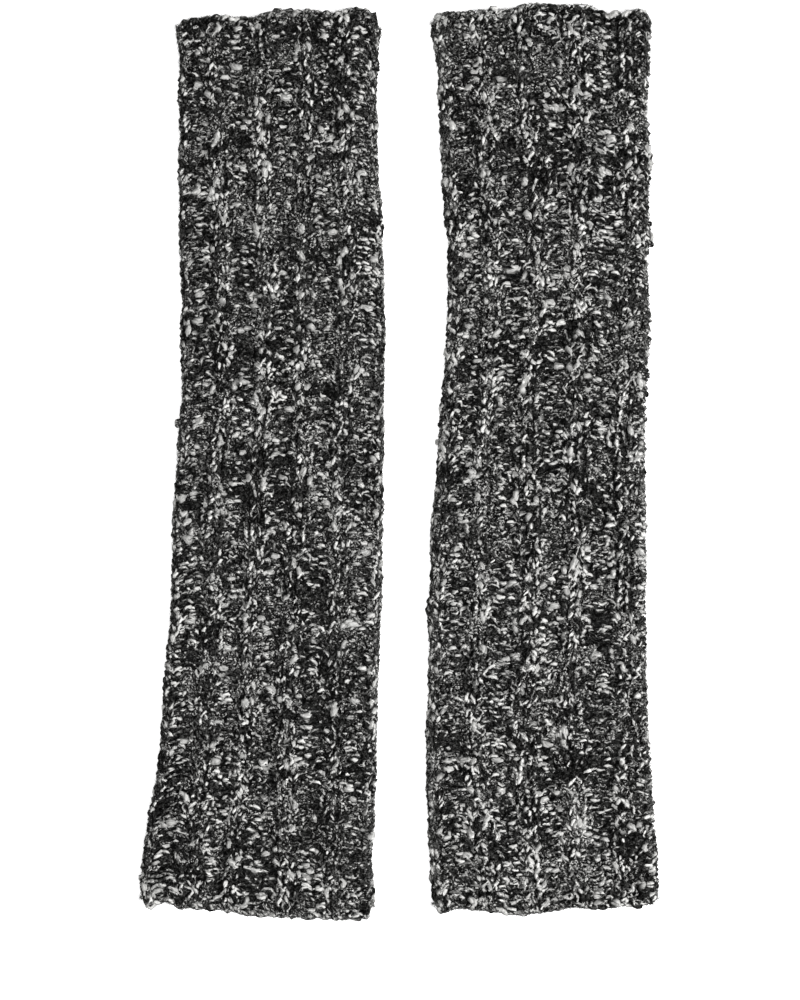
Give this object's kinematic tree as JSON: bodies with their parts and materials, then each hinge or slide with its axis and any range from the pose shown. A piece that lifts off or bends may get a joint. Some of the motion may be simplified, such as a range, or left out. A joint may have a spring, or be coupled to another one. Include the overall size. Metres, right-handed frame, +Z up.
{
  "type": "pair of arm warmers",
  "caption": "Long open-ended arm warmers in chunky wide-rib knitting of charcoal and off-white marl yarn, laid flat side by side.",
  "frame": {"origin": "centre of the pair's bounding box, on the surface that the warmers lie on", "axes": "+Y along the warmers, towards their narrower open ends; +X from the left warmer to the right one; +Z up from the surface"},
  "size_m": [0.26, 0.4574, 0.0083],
  "materials": {
    "charcoal_marl_knit": "matt, hairy bouclé marl of charcoal with off-white flecks"
  },
  "bodies": {
    "root": {"left_warmer_tube": "charcoal_marl_knit", "right_warmer_tube": "charcoal_marl_knit"}
  },
  "joints": []
}
